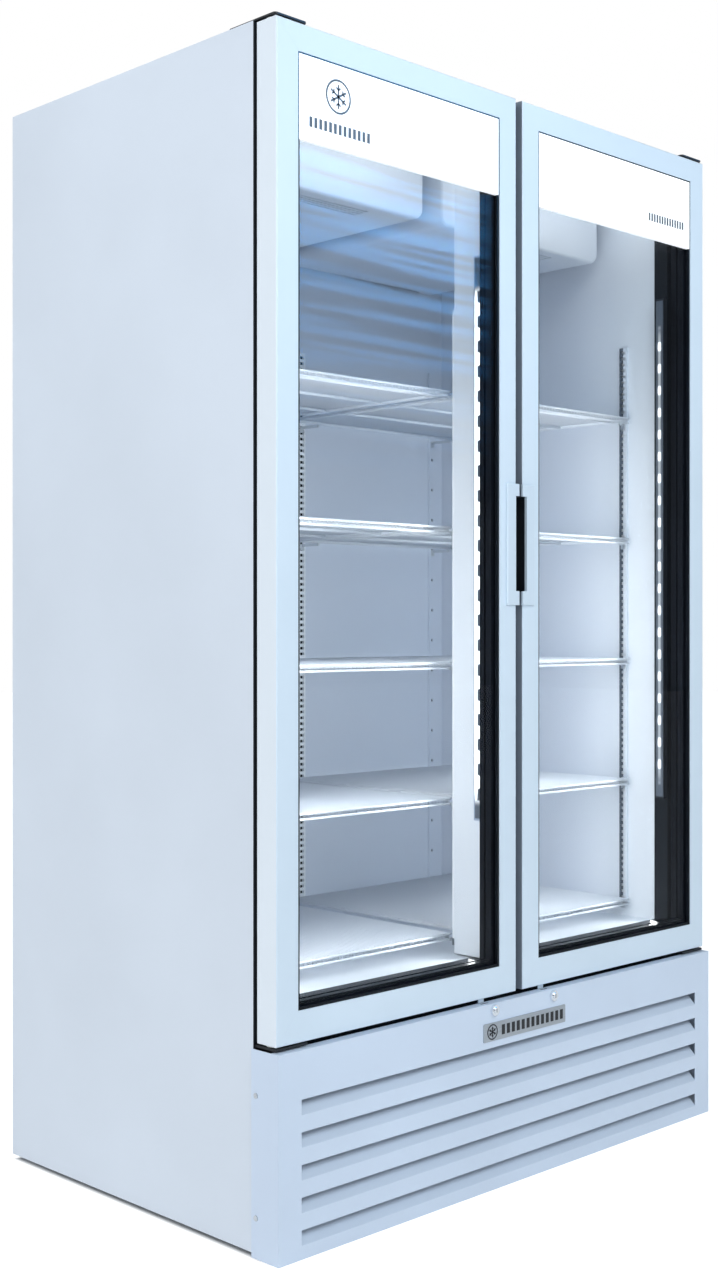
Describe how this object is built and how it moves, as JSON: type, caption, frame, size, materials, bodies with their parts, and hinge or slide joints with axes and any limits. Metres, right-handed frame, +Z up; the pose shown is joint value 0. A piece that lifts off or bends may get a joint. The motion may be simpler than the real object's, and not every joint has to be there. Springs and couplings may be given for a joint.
{
  "type": "glass door merchandiser",
  "caption": "Upright refrigerated display cabinet with two hinged glass doors, adjustable wire shelves, light bars and a louvred front grille.",
  "frame": {"origin": "middle of the footprint of the whole box, on the floor", "axes": "+X to the right seen from the front, +Y to the back, +Z up"},
  "size_m": [1.2122, 0.78, 2.001],
  "materials": {
    "cabinet_paint": "satin",
    "door_paint": "satin",
    "grille_paint": "satin",
    "galvanised": "satin",
    "foam": "matte",
    "liner_white": "satin",
    "black_plastic": "gloss",
    "handle_plastic": "satin",
    "glass": "gloss",
    "header_white": "satin",
    "gasket_rubber": "matte",
    "bushing_nylon": "satin",
    "hinge_black": "satin",
    "lock_chrome": "polished",
    "zinc": "satin",
    "badge_metal": "satin",
    "pilaster_white": "satin",
    "shelf_coating": "satin",
    "led_lens": "gloss",
    "led_board": "matte",
    "led_chip": "gloss",
    "coil_aluminium": "satin",
    "fan_plastic": "satin",
    "motor_metal": "satin",
    "compressor_black": "gloss",
    "pan_plastic": "matte",
    "control_grey": "satin",
    "copper": "satin"
  },
  "bodies": {
    "cabinet": {"left_side_panel": "cabinet_paint", "right_side_panel": "cabinet_paint", "top_panel": "cabinet_paint", "back_panel": "galvanised", "insulation": "foam", "liner_panels": "liner_white", "breaker_strips": "black_plastic", "mullion": "liner_white", "top_hinges": "hinge_black", "bottom_hinges": "hinge_black", "lock_housings": "lock_chrome", "grille_panel": "grille_paint", "grille_screws": "zinc", "badge_plate": "badge_metal", "pilasters": "pilaster_white", "shelf_clips": "zinc", "shelf_pair_1": "shelf_coating", "shelf_pair_2": "shelf_coating", "shelf_pair_3": "shelf_coating", "shelf_pair_4": "shelf_coating", "shelf_pair_5": "shelf_coating", "led_channels": "black_plastic", "led_lenses": "led_lens", "led_boards": "led_board", "led_chips": "led_chip", "evaporator_covers": "liner_white", "evaporator_coils": "coil_aluminium", "fan_motors": "motor_metal", "base_frame": "galvanised", "levelling_feet": "zinc", "compressor": "compressor_black", "condenser_coil": "coil_aluminium", "fan_shroud": "black_plastic", "condensate_pan": "pan_plastic", "control_box": "control_grey", "refrigerant_pipes": "copper", "power_gland": "black_plastic"},
    "left_door": {"left_door_frame": "door_paint", "left_door_glazing_frame": "black_plastic", "left_door_glass_panes": "glass", "left_door_glass_spacer": "black_plastic", "left_door_header_panel": "header_white", "left_door_gasket": "gasket_rubber", "left_door_handle": "handle_plastic", "left_door_hinge_bushings": "bushing_nylon", "left_lock_strike": "door_paint"},
    "right_door": {"right_door_frame": "door_paint", "right_door_glazing_frame": "black_plastic", "right_door_glass_panes": "glass", "right_door_glass_spacer": "black_plastic", "right_door_header_panel": "header_white", "right_door_gasket": "gasket_rubber", "right_door_handle": "handle_plastic", "right_door_hinge_bushings": "bushing_nylon", "right_lock_strike": "door_paint"},
    "left_lock": {"left_lock_plug": "lock_chrome"},
    "right_lock": {"right_lock_plug": "lock_chrome"},
    "left_evaporator_fan": {"left_evaporator_fan": "fan_plastic"},
    "right_evaporator_fan": {"right_evaporator_fan": "fan_plastic"},
    "condenser_fan": {"condenser_fan": "fan_plastic"}
  },
  "joints": [
    {"name": "left_door_hinge", "type": "hinge", "parent": "cabinet", "child": "left_door", "pos_m": [-0.585, -0.3492, 1.1715], "axis": [0, 0, -1], "range_deg": [0, 110], "stiffness_Nm_per_rad": 2},
    {"name": "right_door_hinge", "type": "hinge", "parent": "cabinet", "child": "right_door", "pos_m": [0.585, -0.3492, 1.1715], "axis": [0, 0, 1], "range_deg": [0, 110], "stiffness_Nm_per_rad": 2},
    {"name": "left_lock_turn", "type": "hinge", "parent": "cabinet", "child": "left_lock", "pos_m": [-0.083, -0.373, 0.328], "axis": [0, 1, 0], "range_deg": [0, 90]},
    {"name": "right_lock_turn", "type": "hinge", "parent": "cabinet", "child": "right_lock", "pos_m": [0.086, -0.373, 0.328], "axis": [0, 1, 0], "range_deg": [0, 90]},
    {"name": "left_evaporator_fan_spin", "type": "hinge", "parent": "cabinet", "child": "left_evaporator_fan", "pos_m": [-0.275, -0.063, 1.866], "axis": [0, 1, 0], "continuous": true},
    {"name": "right_evaporator_fan_spin", "type": "hinge", "parent": "cabinet", "child": "right_evaporator_fan", "pos_m": [0.275, -0.063, 1.866], "axis": [0, 1, 0], "continuous": true},
    {"name": "condenser_fan_spin", "type": "hinge", "parent": "cabinet", "child": "condenser_fan", "pos_m": [-0.36, -0.236, 0.185], "axis": [0, 1, 0], "continuous": true}
  ]
}
